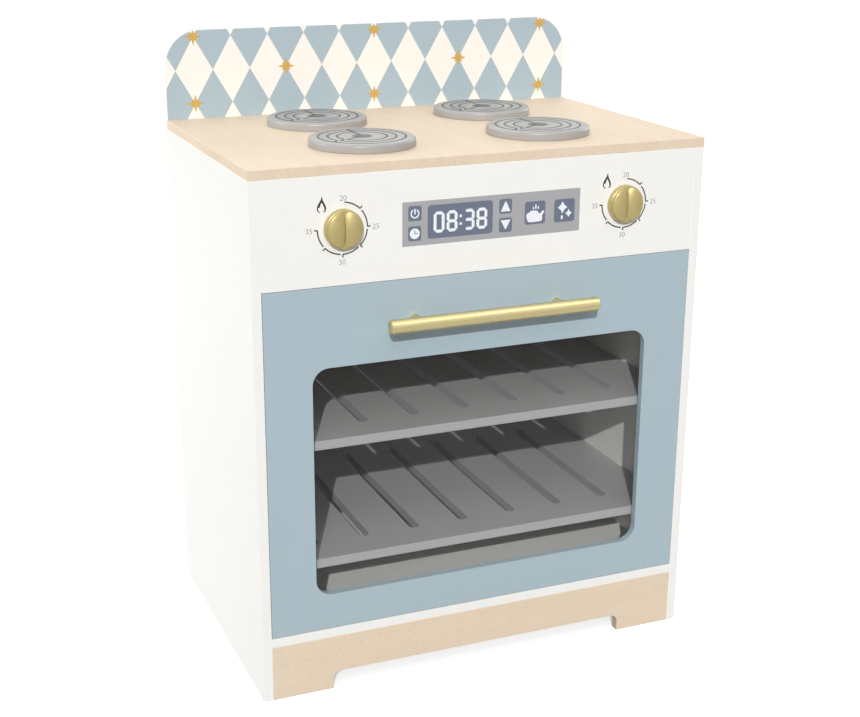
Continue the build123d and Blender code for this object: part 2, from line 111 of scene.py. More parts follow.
class OvenColours(bpy.types.PropertyGroup):
    """Colours of the paints, the wood, the inks and the metal."""
    white: colour("White lacquer", "Paint of the cabinet", (0.895, 0.886, 0.852))
    blue: colour("Blue lacquer", "Paint of the door and the dark diamonds", (0.398, 0.497, 0.549))
    grey: colour("Grey lacquer", "Paint of the racks", (0.445, 0.448, 0.44))
    hob: colour("Hob lacquer", "Paint of the hob plates", (0.366, 0.356, 0.345))
    beech: colour("Beech", "Ground colour of the top and the plinth", (0.80, 0.664, 0.506))
    beech_fleck: colour("Beech flecks", "Darker flecks in the beech", (0.62, 0.455, 0.32))
    cream: colour("Cream ink", "Pale diamonds on the back board", (0.925, 0.88, 0.815))
    star: colour("Star ink", "Stars on the back board", (0.62, 0.385, 0.095))
    line: colour("Dark ink", "Scales round the knobs and the flames", (0.045, 0.043, 0.04))
    number: colour("Number ink", "Numbers round the knobs", (0.28, 0.275, 0.27))
    coil: colour("Coil ink", "Rings on the hob plates", (0.105, 0.105, 0.108))
    display: colour("Display field", "Field of the printed display", (0.395, 0.39, 0.403))
    mark: colour("Display marks", "Digits and figures of the printed display", (0.87, 0.885, 0.915))
    slate: colour("Display windows", "Windows and keys of the printed display", (0.143, 0.168, 0.232))
    brass: colour("Brass", "Handle", (0.685, 0.582, 0.303))
    gold: colour("Gold plastic", "Knobs", (0.525, 0.428, 0.186))
    steel: colour("Zinc", "Screws, pins, washers and the strike plate", (0.62, 0.63, 0.64))
    dowel: colour("Dowel wood", "Ground colour of the pegs and dowels", (0.72, 0.57, 0.41))
    dowel_fleck: colour("Dowel flecks", "Darker flecks in the pegs and dowels", (0.5, 0.36, 0.24))
    nylon: colour("Nylon", "Hinge bushes and the catch's housing", (0.80, 0.80, 0.78))
    ferrite: colour("Ferrite", "The catch's magnet", (0.035, 0.034, 0.036))
    pane: colour("Pane", "Tint of the clear pane", (0.10, 0.11, 0.12))


class OvenPrint(bpy.types.PropertyGroup):
    """Sizes of what is printed on the back board and the control panel."""
    film: length("Film", "Thickness of one printed layer", 0.0001)
    margin: length("Margin", "Bare edge round the diamonds", 0.0011)
    diamond_width: length("Diamond width", "Across one diamond", 0.03465)
    diamond_height: length("Diamond height", "From top to bottom of one diamond", 0.0597)
    star_long: length("Long points", "Middle of a star to its upright and level points", 0.0083)
    star_short: length("Short points", "Middle of a star to its slanting points", 0.0054)
    star_waist: length("Waist", "Middle of a star to the notches", 0.0034)
    dial_radius: length("Dial radius", "Middle of a dial to its scale line", 0.0207)
    dial_line: length("Dial line", "Width of the scale line", 0.00105)
    dial_tick: length("Tick", "How far each tick stands out of the scale line", 0.0026)
    number_size: length("Number size", "Type size of the dial numbers", 0.0061)


class OvenHob(bpy.types.PropertyGroup):
    """Sizes of the coils printed on the hob plates."""
    ring: length("Outer ring", "Radius of the outer ring", 0.0363)
    pitch: length("Ring spacing", "From one ring to the next", 0.00785)
    spot: length("Spot", "Radius of the spot in the middle", 0.0086)
    line: length("Line", "Width of the printed line", 0.0020)
    jog: angle("Jog", "Where the line has stepped to the next ring inwards", 204.0)
    step: angle("Step", "The turn over which the line steps", 10.0)
    lead: angle("Lead", "Where a straight line runs from the spot to the outer ring", 90.0)


class OvenScrews(bpy.types.PropertyGroup):
    """Sizes of the screw heads that the construction model leaves plain."""
    recess_width: amount("Recess width", "Width of the cross recess, of the head's radius", 0.26)
    recess_span: amount("Recess span", "Length of the cross recess, of the head's radius", 1.15)
    recess_depth: amount("Recess depth", "Depth of the cross recess, of the head's height", 0.55)


class OvenStudio(bpy.types.PropertyGroup):
    """Camera and lamps."""
    stand: bpy.props.FloatVectorProperty(
        name="Camera place", description="Where the camera stands", default=(-0.4990, -1.1785, 0.6644),
        size=3, unit="LENGTH", subtype="TRANSLATION", precision=4)
    shift_right: amount("Shift right", "The camera's shift to the right, of the frame's width", 0.0316)
    shift_up: amount("Shift up", "The camera's shift upwards, of the frame's width", 0.0022)
    lens: amount("Lens", "Focal length in millimetres on a 36 mm wide sensor", 61.76)
    bearing: angle("Bearing", "The camera's bearing, from straight ahead to the right", 21.85)
    pitch: angle("Pitch", "How far the camera looks down", 18.22)
    sun: amount("Key lamp", "Strength of the key lamp", 2.18)
    front_box: amount("Front softbox", "Power of the softbox high in front", 19.5)
    fill_box: amount("Fill softbox", "Power of the softbox above on the right", 8.0)
    side_box: amount("Left softbox", "Power of the softbox on the left", 24.0)
    top_box: amount("Top softbox", "Power of the softbox overhead", 10.6)
    right_box: amount("Right softbox", "Power of the softbox on the right", 10.0)
    rear_box: amount("Rear softbox", "Power of the softbox behind", 16.0)
    sky: amount("Room light", "Strength of the even light from all round", 0.10)
    floor: colour("Floor", "Colour of the studio floor", (0.93, 0.93, 0.925))
    dull_floor: colour("Dull floor", "Floor as it lights the oven from below", (0.42, 0.42, 0.42))


# ---------------------------------------------------------------- node trees
NUMBER, VECTOR, COLOUR = "NodeSocketFloat", "NodeSocketVector", "NodeSocketColor"
GEOMETRY, WHOLE, FINISH = "NodeSocketGeometry", "NodeSocketInt", "NodeSocketMaterial"
SURFACE_OUT = (("Colour", COLOUR), ("Roughness", NUMBER), ("Height", NUMBER))


def sign(operation, swapped=False):
    """A method that turns an arithmetic sign into a math node."""
    return lambda self, other: calc(operation, *((other, self) if swapped else (self, other)))


class Wire:
    """What a node puts out; an arithmetic sign between two, or with a number, adds a math node."""
    __add__, __radd__ = sign("ADD"), sign("ADD", True)
    __sub__, __rsub__ = sign("SUBTRACT"), sign("SUBTRACT", True)
    __mul__, __rmul__ = sign("MULTIPLY"), sign("MULTIPLY", True)
    __truediv__, __rtruediv__ = sign("DIVIDE"), sign("DIVIDE", True)
    __mod__, __gt__ = sign("MODULO"), sign("GREATER_THAN")

    def __init__(self, socket):
        self.socket, self.tree = socket, socket.id_data


def node(kind, values=None, tree=None, **settings):
    """Adds a node to its wires' tree, or to one given; a wire is linked and any other value is set."""
    values = values or {}
    tree = tree or next(value.tree for value in values.values() if isinstance(value, Wire))
    made = tree.nodes.new(kind)
    for name, value in settings.items():
        setattr(made, name, value)
    for key, value in values.items():
        if isinstance(value, Wire):
            tree.links.new(value.socket, made.inputs[key])
        else:
            made.inputs[key].default_value = value
    return made


def out(kind, values=None, which=0, tree=None, **settings):
    """One output of a new node, by its number or name."""
    return Wire(node(kind, values, tree, **settings).outputs[which])


def calc(operation, *values, clamp=False):
    """A math node on numbers and wires."""
    return out("ShaderNodeMath", dict(enumerate(values)), operation=operation, use_clamp=clamp)


def xyz(x=0.0, y=0.0, z=0.0):
    """A vector of numbers and wires."""
    return out("ShaderNodeCombineXYZ", {0: x, 1: y, 2: z})


def axes(vector):
    """A vector's three parts."""
    return [Wire(part) for part in node("ShaderNodeSeparateXYZ", {0: vector}).outputs]


def scaled(vector, share):
    """A vector times a number."""
    return out("ShaderNodeVectorMath", {0: vector, "Scale": share}, operation="SCALE")


def stretched(vector, *shares):
    """A vector multiplied along each axis by its own number."""
    wired = any(isinstance(share, Wire) for share in shares)
    return out("ShaderNodeVectorMath", {0: vector, 1: xyz(*shares) if wired else shares},
               operation="MULTIPLY")


def blend(low, high, share):
    """The number a share of the way from low to high."""
    return (high - low) * share + low


def spread(value, gain, middle):
    """A noise value about a middle instead of about a half, made stronger or weaker."""
    return (value - 0.5) * gain + middle


def noise(vector, scale=1.0, detail=2.0, roughness=0.5):
    """A noise texture's value."""
    return out("ShaderNodeTexNoise", {"Vector": vector, "Scale": scale, "Detail": detail,
                                      "Roughness": roughness})


def step(value, low, high):
    """0 below low, 1 above high and smooth between them."""
    return out("ShaderNodeMapRange", {"Value": value, "From Min": low, "From Max": high},
               interpolation_type="SMOOTHSTEP")


def mixed(share, first, second):
    """The colour a share of the way from the first to the second."""
    return out("ShaderNodeMix", {0: share, 6: first, 7: second}, 2, data_type="RGBA")


def toned(tone, value):
    """A colour made lighter or darker."""
    return out("ShaderNodeHueSaturation", {"Color": tone, "Value": value})


def named_tree(name, kind, inputs, outputs):
    """A node group and its inputs as wires; an input given by its name alone is a number."""
    tree = bpy.data.node_groups.new(name, kind)
    for label, socket, *default in ((item, NUMBER) if isinstance(item, str) else item for item in inputs):
        made = tree.interface.new_socket(label, in_out="INPUT", socket_type=socket)
        if default:
            made.default_value = default[0]
    for label, socket in outputs:
        tree.interface.new_socket(label, in_out="OUTPUT", socket_type=socket)
    return tree, {socket.name: Wire(socket) for socket in tree.nodes.new("NodeGroupInput").outputs}


def give(tree, *outputs):
    """Links what a group puts out, in its sockets' order."""
    for wire, socket in zip(outputs, tree.nodes.new("NodeGroupOutput").inputs):
        tree.links.new(wire.socket, socket)
    return tree


def once(name, build):
    """A node group that is built the first time it is asked for."""
    return bpy.data.node_groups.get(name) or build(name)


def lacquer_group(name):
    """Sprayed paint: a faint cloudiness, a slightly uneven sheen and a fine orange peel."""
    tree, given = named_tree(name, "ShaderNodeTree", (
        ("Position", VECTOR), ("Colour", COLOUR), "Cloudiness", "Sheen", ("Peel Size", NUMBER, 0.0012)),
        SURFACE_OUT)
    place = given["Position"]
    cloud = noise(place, 14.0, detail=3.0) * 0.7 + noise(place, 700.0) * 0.3
    tone = toned(given["Colour"], spread(cloud, given["Cloudiness"], 1.0))
    return give(tree, tone, spread(noise(place, 38.0), 0.16, given["Sheen"]),
                noise(place, 1.0 / given["Peel Size"], detail=1.5))


def beech_group(name):
    """Beech with its grain along X: soft bands, fine lines that reach the end grain, and flecks."""
    tree, given = named_tree(name, "ShaderNodeTree", (
        ("Position", VECTOR), ("Colour", COLOUR), ("Fleck Colour", COLOUR), ("Contrast", NUMBER, 1.0),
        ("Lines", NUMBER, 1.0)), SURFACE_OUT)
    place = given["Position"]
    wander = noise(stretched(place, 3.0, 9.0, 9.0)) * 0.02
    bent = out("ShaderNodeVectorMath", {0: place, 1: xyz(y=wander)}, operation="ADD")
    band = step(noise(stretched(bent, 6.0, 55.0, 40.0), detail=3.0, roughness=0.55), 0.35, 0.7)
    line = step(noise(stretched(bent, 14.0, 420.0, 70.0)), 0.5, 0.72)
    fleck = step(noise(stretched(bent, 260.0, 900.0, 900.0), detail=1.0), 0.54, 0.72)
    pore = noise(stretched(bent, 420.0, 2100.0, 2100.0))
    share = (band * 0.16 + line * 0.2) * given["Lines"] + fleck * 0.22 + pore * 0.16
    share = calc("MULTIPLY", share, given["Contrast"], clamp=True)
    return give(tree, mixed(share, given["Colour"], given["Fleck Colour"]), pore * 0.15 + 0.46,
                pore - fleck * 0.6)


def metal_group(name):
    """Satin metal: fine streaks, long along X and short across, in tone and sheen."""
    tree, given = named_tree(name, "ShaderNodeTree", (
        ("Position", VECTOR), ("Colour", COLOUR), "Sheen", ("Streak Length", NUMBER, 0.03),
        ("Streak Width", NUMBER, 0.0004)), SURFACE_OUT)
    place = given["Position"]
    along, across = 1.0 / given["Streak Length"], 1.0 / given["Streak Width"]
    streak = noise(stretched(place, along, across, across), detail=3.0)
    sheen = spread(noise(place, 60.0), 0.1, spread(streak, 0.1, given["Sheen"]))
    return give(tree, toned(given["Colour"], streak * 0.12 + 0.94), sheen, streak)


def diamond_group(name):
    """Harlequin diamonds: 1 on the pale ones and 0 on the dark ones."""
    tree, given = named_tree(name, "ShaderNodeTree", (("Position", VECTOR), "Width", "Height", "Middle"),
                             (("Mask", NUMBER),))
    x, _, z = axes(given["Position"])
    across, up = x / given["Width"], (z - given["Middle"]) / given["Height"]
    rows = calc("FLOOR", across + up + 0.5) + calc("FLOOR", across - up + 0.5)
    return give(tree, 1.0 - calc("PINGPONG", rows, 1.0))


# ---------------------------------------------------------------- finishes
def finish_tree(name):
    """A new material with its Principled shader and its Object position."""
    made = bpy.data.materials.new(name)
    made.use_nodes = True
    shader = made.node_tree.nodes["Principled BSDF"]
    return made, shader, out("ShaderNodeTexCoord", which="Object", tree=made.node_tree)


def coat_with(shader, label, build, values, depth, strength):
    """Feeds a surface group's colour, roughness and bump to the shader."""
    colour_out, roughness, height = node("ShaderNodeGroup", values, node_tree=once(label, build)).outputs
    bump = out("ShaderNodeBump", {"Height": Wire(height), "Distance": depth, "Strength": strength})
    for name, socket in (("Base Color", colour_out), ("Roughness", roughness), ("Normal", bump.socket)):
        bump.tree.links.new(socket, shader.inputs[name])


def with_alpha(rgb):
    """A colour as a socket takes it."""
    return (*rgb, 1.0)


def lacquer(name, rgb, sheen=0.42, cloudiness=0.025, peel=0.0013, second=None, mask=None):
    """Paint in one colour, or in two where a mask tells them apart."""
    known = bpy.data.materials.get(name)
    if known:
        return known
    made, shader, place = finish_tree(name)
    tone = with_alpha(rgb)
    if mask:
        tone = mixed(mask(place), with_alpha(second), tone)
    coat_with(shader, "Sprayed lacquer", lacquer_group, {
        "Position": place, "Colour": tone, "Cloudiness": cloudiness, "Sheen": sheen, "Peel Size": peel},
        depth=0.00006, strength=0.35)
    return made


def beech(name, rgb, fleck, contrast=1.0, grain="XYZ", lines=1.0):
    """Clear-varnished beech; grain names the axes along the grain, across it and through the board."""
    made, shader, place = finish_tree(name)
    parts = axes(place)
    coat_with(shader, "Beech figure", beech_group, {
        "Position": xyz(*(parts["XYZ".index(axis)] for axis in grain)), "Colour": with_alpha(rgb),
        "Fleck Colour": with_alpha(fleck), "Contrast": contrast, "Lines": lines},
        depth=0.00008, strength=0.3)
    return made


def metal(name, rgb, sheen, metallic, streak=(0.03, 0.0004)):
    """Satin metal, or a paint that looks like it; streak gives the length and width of its streaks."""
    made, shader, place = finish_tree(name)
    coat_with(shader, "Satin metal", metal_group, {
        "Position": place, "Colour": with_alpha(rgb), "Sheen": sheen, "Streak Length": streak[0],
        "Streak Width": streak[1]}, depth=0.00002, strength=0.25)
    shader.inputs["Metallic"].default_value = metallic
    return made


def clear_sheet(name):
    """A clear plastic pane that lets nearly all light through."""
    made = lacquer(name, colours().pane, sheen=0.08, cloudiness=0.02)
    shader = made.node_tree.nodes["Principled BSDF"]
    shader.inputs["Alpha"].default_value = 0.05
    shader.inputs["IOR"].default_value = 1.49
    return made


def paint_node(finish, *names):
    """Gives CAD pieces a finish in all their material slots."""
    for name in names:
        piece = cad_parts[name]
        if not piece.material_slots:
            piece.data.materials.append(None)
        for slot in piece.material_slots:
            slot.material = finish


# ---------------------------------------------------------------- meshes
def link(name, data):
    """A new object in the scene."""
    made = bpy.data.objects.new(name, data)
    bpy.context.scene.collection.objects.link(made)
    return made


def settle(piece, body, slot, *nodes):
    """Lets a finished piece ride a body and hides the nodes it stands for."""
    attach(piece, body)
    if nodes:
        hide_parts(*nodes)
    return piece


def plain_mesh(piece):
    """The evaluated object as a plain mesh."""
    return bpy.data.meshes.new_from_object(piece.evaluated_get(bpy.context.evaluated_depsgraph_get()))


def soften(mesh, degrees=32.0):
    """Smooth shading with creases kept."""
    mesh.shade_smooth()
    mesh.set_sharp_from_angle(angle=math.radians(degrees))


def merged(mesh):
    """A bmesh of a CAD mesh with its loose triangles joined."""
    work = bmesh.new()
    work.from_mesh(mesh)
    bmesh.ops.remove_doubles(work, verts=work.verts, dist=WELD)
    return work


def islands(node_name):
    """The lowest and highest corners of each separate solid of a CAD node."""
    work = merged(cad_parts[node_name].data)
    left = set(work.verts)
    boxes = []
    while left:
        edge = [left.pop()]
        group = list(edge)
        while edge:
            around = {e.other_vert(v) for v in edge for e in v.link_edges} & left
            left -= around
            edge = list(around)
            group += edge
        boxes.append(tuple(Vector(pick(v.co[i] for v in group) for i in range(3)) for pick in (min, max)))
    work.free()
    return sorted(boxes, key=lambda corners: tuple(corners[0]))


def smooth_copy(node_name, name, finish):
    """A smooth-shaded copy of a CAD piece, with its flats kept flat."""
    work = merged(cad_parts[node_name].data)
    work.verts.index_update()
    points = [v.co.copy() for v in work.verts]
    faces = [[v.index for v in f.verts] for f in work.faces]
    work.free()
    mesh = bpy.data.meshes.new(name)
    mesh.from_pydata(points, [], faces)
    soften(mesh)
    piece = link(name, mesh)
    even = piece.modifiers.new("Even shading", "WEIGHTED_NORMAL")
    even.keep_sharp = True
    piece.data = plain_mesh(piece)
    piece.modifiers.clear()
    piece.data.name = name
    piece.data.materials.append(finish)
    return piece


def grow(name, tree, points, values):
    """A plain mesh that a Geometry Nodes tree makes on a cloud of points."""
    cloud = bpy.data.meshes.new(name)
    cloud.from_pydata([tuple(p) for p in points], [], [])
    piece = link(name, cloud)
    maker = piece.modifiers.new("Maker", "NODES")
    maker.node_group = tree
    for item in tree.interface.items_tree:
        if item.in_out == "INPUT" and item.name in values:
            maker[item.identifier] = values[item.name]
    mesh = plain_mesh(piece)
    piece.modifiers.clear()
    piece.data = mesh
    mesh.name = name
    return piece


def upright(x, y, z):
    """Stands flat work, drawn in X and Y in millimetres, up at a place so that it faces out of the oven."""
    return Matrix.Translation((x, y, z)) @ Matrix.Rotation(QUARTER, 4, "X") @ Matrix.Scale(MM, 4)


def film(name, loops, thickness, place, finish):
    """A flat film with closed outlines in millimetres; an outline inside another is a hole."""
    curve = bpy.data.curves.new(name, "CURVE")
    curve.dimensions, curve.fill_mode = "2D", "BOTH"
    curve.extrude = thickness / MM / 2
    for loop in loops:
        spline = curve.splines.new("POLY")
        spline.points.add(len(loop) - 1)
        for point, (x, y) in zip(spline.points, loop):
            point.co = (x, y, 0.0, 1.0)
        spline.use_cyclic_u = True
    return flat_piece(name, curve, thickness, place, finish)


def flat_piece(name, curve, thickness, place, finish):
    """Turns a flat curve or text into a closed mesh that stands on its plane."""
    piece = link(name, curve)
    mesh = plain_mesh(piece)
    bpy.data.objects.remove(piece)
    work = bmesh.new()
    work.from_mesh(mesh)
    bmesh.ops.remove_doubles(work, verts=work.verts, dist=0.0001)       # in millimetres
    bmesh.ops.recalc_face_normals(work, faces=work.faces)
    work.to_mesh(mesh)
    work.free()
    mesh.transform(place @ Matrix.Translation((0.0, 0.0, thickness / MM / 2)))
    mesh.name = name
    mesh.materials.clear()
    mesh.materials.append(finish)
    return link(name, mesh)


def joined(name, parts):
    """One object from several with the same finish."""
    work = bmesh.new()
    for part in parts:
        work.from_mesh(part.data)
    mesh = bpy.data.meshes.new(name)
    work.to_mesh(mesh)
    work.free()
    mesh.materials.append(parts[0].data.materials[0])
    for part in parts:
        bpy.data.objects.remove(part)
    return link(name, mesh)


# ---------------------------------------------------------------- flat outlines, in millimetres
def arc(x, y, radius, start, end, count=12):
    """Points on an arc, with its angles in degrees."""
    turns = (math.radians(start + (end - start) * n / count) for n in range(count + 1))
    return [(x + radius * math.cos(t), y + radius * math.sin(t)) for t in turns]


def box(left, bottom, right, top):
    """A rectangle."""
    return [(left, bottom), (right, bottom), (right, top), (left, top)]


def rounded_box(left, bottom, right, top, radius):
    """A rectangle with rounded corners."""
    middles = ((right - radius, top - radius), (left + radius, top - radius),
               (left + radius, bottom + radius), (right - radius, bottom + radius))
    return [point for n, (x, y) in enumerate(middles) for point in arc(x, y, radius, 90 * n, 90 * n + 90)]


def flowing(points, steps=5):
    """A closed line that passes smoothly through all the points."""
    line = []
    count = len(points)
    for n in range(count):
        a, b, c, d = (Vector(points[(n + k) % count]) for k in (-1, 0, 1, 2))
        for s in range(steps):
            t = s / steps
            line.append(tuple(0.5 * (2 * b + (c - a) * t + (2 * a - 5 * b + 4 * c - d) * t * t
                                     + (3 * b - a - 3 * c + d) * t ** 3)))
    return line


def moved(loop, x, y):
    """A loop moved across and up."""
    return [(px + x, py + y) for px, py in loop]


def bar(x1, y1, x2, y2, width):
    """One stroke of a numeral: a straight bar with pointed ends."""
    run = Vector((x2 - x1, y2 - y1)).normalized() * width / 2
    side = Vector((-run.y, run.x))
    start, end = Vector((x1, y1)), Vector((x2, y2))
    return [tuple(p) for p in (start, start + run + side, end - run + side, end, end - run - side,
                               start + run - side)]


def numeral(strokes, left, bottom, width, height, stroke, gap):
    """The strokes of a seven-stroke numeral, named a to g from the top and clockwise."""
    x1, x2 = left + stroke / 2, left + width - stroke / 2
    y1, y2, y3 = bottom + stroke / 2, bottom + height / 2, bottom + height - stroke / 2
    places = {"a": (x1 + gap, y3, x2 - gap, y3), "b": (x2, y2 + gap, x2, y3 - gap),
              "c": (x2, y1 + gap, x2, y2 - gap), "d": (x1 + gap, y1, x2 - gap, y1),
              "e": (x1, y1 + gap, x1, y2 - gap), "f": (x1, y2 + gap, x1, y3 - gap),
              "g": (x1 + gap, y2, x2 - gap, y2)}
    if "g" not in strokes:      # the sides of a nought run through
        places.update(b=(x2, y1 + gap, x2, y3 - gap), c=None, e=(x1, y1 + gap, x1, y3 - gap), f=None)
    return [bar(*places[s], stroke) for s in strokes if places[s]]


def spark(x, y, width, height, waist=0.2736):
    """A four-pointed star with hollow sides; the waist is a share of its width and height."""
    loop = []
    for n in range(4):
        point, notch = QUARTER * n, QUARTER * (n + 0.5)
        reach = (height if n % 2 else width) / 2
        loop.append((x + reach * math.cos(point), y + reach * math.sin(point)))
        loop.append((x + width * waist * math.cos(notch), y + height * waist * math.sin(notch)))
    return loop


# millimetres from the flame's middle, and from the lower left corner of the roast's key
FLAME = [(-1.0, -6.3), (-2.3, -5.9), (-3.4, -4.6), (-3.75, -3.0), (-3.4, -1.2), (-2.5, 0.7), (-1.3, 2.5),
         (-0.3, 4.3), (0.35, 6.2), (0.8, 6.1), (0.95, 4.4), (1.7, 2.5), (2.9, 0.2), (3.75, -2.2),
         (3.75, -4.0), (3.1, -5.3), (2.2, -6.0), (1.6, -5.7), (2.3, -4.6), (2.4, -3.4), (2.0, -1.7),
         (1.1, 0.2), (0.2, 1.6), (-0.4, 0.6), (-0.9, -0.5), (-1.3, -1.9), (-2.3, -2.1), (-2.75, -3.3),
         (-2.4, -4.5), (-1.6, -5.5)]
ROAST = [(3.3, 2.3), (5.0, 1.8), (9.5, 1.9), (14.2, 2.1), (15.4, 2.9), (15.8, 4.6), (15.9, 6.6), (16.2, 7.9),
         (17.3, 9.3), (17.5, 10.3), (16.8, 10.8), (16.2, 10.6), (15.4, 10.2), (14.9, 9.2), (13.2, 8.6),
         (12.3, 9.4), (11.6, 10.6), (9.8, 11.2), (6.6, 11.3), (5.2, 11.1), (4.2, 10.1), (2.2, 9.2),
         (1.4, 8.0), (1.6, 5.8), (2.4, 3.6)]


# ---------------------------------------------------------------- Geometry Nodes makers
def together(*parts):
    """Several geometries joined."""
    both = node("GeometryNodeJoinGeometry", tree=parts[0].tree)
    for part in parts:
        part.tree.links.new(part.socket, both.inputs[0])
    return Wire(both.outputs[0])


def lifted(geometry, height):
    """Geometry moved up."""
    return out("GeometryNodeTransform", {"Geometry": geometry, "Translation": xyz(z=height)})


def reshaped(geometry, spot):
    """Geometry with its points put at given spots."""
    return out("GeometryNodeSetPosition", {"Geometry": geometry, "Position": spot})


def realised(geometry):
    """Geometry with its instances made real."""
    return out("GeometryNodeRealizeInstances", {"Geometry": geometry})


def repeated(places, piece, turn=(0.0, 0.0, 0.0)):
    """A piece at each place, turned."""
    return out("GeometryNodeInstanceOnPoints", {"Points": places, "Instance": piece, "Rotation": turn})


def rim(tree, corners, radius=1.0):
    """A closed curve with its corners evenly on a circle."""
    return out("GeometryNodeCurvePrimitiveCircle", {"Resolution": corners, "Radius": radius}, tree=tree)


def flat_solid(curve, thickness):
    """A closed plate from a flat closed curve."""
    face = out("GeometryNodeFillCurve", {"Curve": curve}, mode="NGONS")
    raised = out("GeometryNodeExtrudeMesh", {"Mesh": face, "Offset Scale": thickness, "Individual": False})
    under = out("GeometryNodeFlipFaces", {"Mesh": face})
    return out("GeometryNodeMergeByDistance", {"Geometry": together(raised, under), "Distance": WELD})


def line_solid(curve, width, thickness):
    """A flat line that follows a curve, its underside on the curve's plane."""
    level = out("GeometryNodeSetCurveNormal", {"Curve": curve}, mode="Z_UP")
    profile = out("GeometryNodeCurvePrimitiveQuadrilateral", {"Width": width, "Height": thickness})
    band = out("GeometryNodeCurveToMesh", {"Curve": level, "Profile Curve": profile, "Fill Caps": True})
    return lifted(band, thickness / 2.0)


def maker_tree(name, product, *sizes):
    """A Geometry Nodes tree that makes its product at places, in a finish, and its inputs as wires."""
    return named_tree(name, "GeometryNodeTree", (("Places", GEOMETRY), *sizes, ("Finish", FINISH)),
                      ((product, GEOMETRY),))


def close_tree(tree, geometry, finish):
    """Realises the instances and sets their finish."""
    return give(tree, out("GeometryNodeSetMaterial", {"Geometry": realised(geometry), "Material": finish}))


def star_maker(name):
    """Eight-pointed stars, four long points and four short, facing out of the oven."""
    tree, given = maker_tree(name, "Stars", "Long Points", "Short Points", "Waist", "Thickness", "Print Top")
    index, spot = (out("GeometryNodeInput" + what, tree=tree) for what in ("Index", "Position"))
    point = blend(given["Long Points"], given["Short Points"], (index % 4.0) / 2.0)
    reach = blend(point, given["Waist"], index % 2.0)
    star = flat_solid(reshaped(rim(tree, 16), scaled(spot, reach)), given["Thickness"])
    stars = realised(repeated(given["Places"], star, UPRIGHT))
    x, y, z = axes(spot)
    stars = reshaped(stars, xyz(x, y, calc("MINIMUM", z, given["Print Top"])))
    return close_tree(tree, stars, given["Finish"])


def dial_maker(name):
    """Dial scales: arcs in even steps, each ending clockwise in an outward tick."""
    tree, given = maker_tree(
        name, "Scales", "Radius", "Line Width", "Tick Length", "Thickness", ("Steps", WHOLE, 6),
        ("Step Angle", NUMBER, math.radians(45.0)), ("Gap Angle", NUMBER, math.radians(5.5)))
    radius, width, reach, thickness, turn = (given[key] for key in (
        "Radius", "Line Width", "Tick Length", "Thickness", "Step Angle"))
    start = QUARTER - turn
    curve = out("GeometryNodeCurveArc", {"Resolution": 24, "Radius": radius, "Start Angle": start,
                                         "Sweep Angle": turn - given["Gap Angle"]})
    tick = out("GeometryNodeMeshCube", {"Size": xyz(reach, width, thickness)})
    tick = out("GeometryNodeTransform", {
        "Geometry": tick, "Translation": xyz(x=radius + reach / 2.0, z=thickness / 2.0)})
    tick = out("GeometryNodeTransform", {"Geometry": tick, "Rotation": xyz(z=start)})
    hub = out("GeometryNodePoints", {"Count": given["Steps"]})
    heading = out("GeometryNodeInputIndex", tree=tree) * turn * -1.0
    steps = repeated(hub, together(line_solid(curve, width, thickness), tick), xyz(z=heading))
    return close_tree(tree, repeated(given["Places"], steps, UPRIGHT), given["Finish"])


def way(heading):
    """The level direction of an angle."""
    return xyz(calc("COSINE", heading), calc("SINE", heading))


def spoke(heading, start, end):
    """A straight line outwards at an angle, between two distances from the middle."""
    return out("GeometryNodeCurvePrimitiveLine", {
        "Start": scaled(way(heading), start), "End": scaled(way(heading), end)})


def coil_maker(name):
    """The printed coil of a hob plate: a line in rings that steps inwards to a spot, and its lead."""
    tree, given = maker_tree(
        name, "Coils", "Outer Ring", "Ring Spacing", ("Rings", NUMBER, 3.0), "Spot", "Line Width",
        "Jog Angle", "Step Angle", "Lead Angle", "Thickness")
    count = 320
    outer, spacing, rings, jog, turn = (given[key] for key in (
        "Outer Ring", "Ring Spacing", "Rings", "Jog Angle", "Step Angle"))
    line = out("GeometryNodeCurvePrimitiveLine", tree=tree)
    line = out("GeometryNodeResampleCurve", {"Curve": line, "Count": count})
    share = turn / FULL
    turns = out("GeometryNodeInputIndex", tree=tree) / (count - 1.0) * rings - share
    inwards = step(calc("FRACT", turns), 1.0 - share, 1.0)
    ring = calc("MAXIMUM", calc("FLOOR", turns) + inwards, 0.0)
    path = reshaped(line, scaled(way(turns * -FULL + jog), outer - ring * spacing))
    inner = outer - (rings - 1.0) * spacing
    within = given["Spot"] * 0.6        # straight lines start under the spot
    lines = [line_solid(curve, given["Line Width"], given["Thickness"]) for curve in (
        path, spoke(jog + turn, within, inner), spoke(given["Lead Angle"], within, outer))]
    middle = flat_solid(rim(tree, 40, given["Spot"]), given["Thickness"])
    return close_tree(tree, repeated(given["Places"], together(middle, *lines)), given["Finish"])


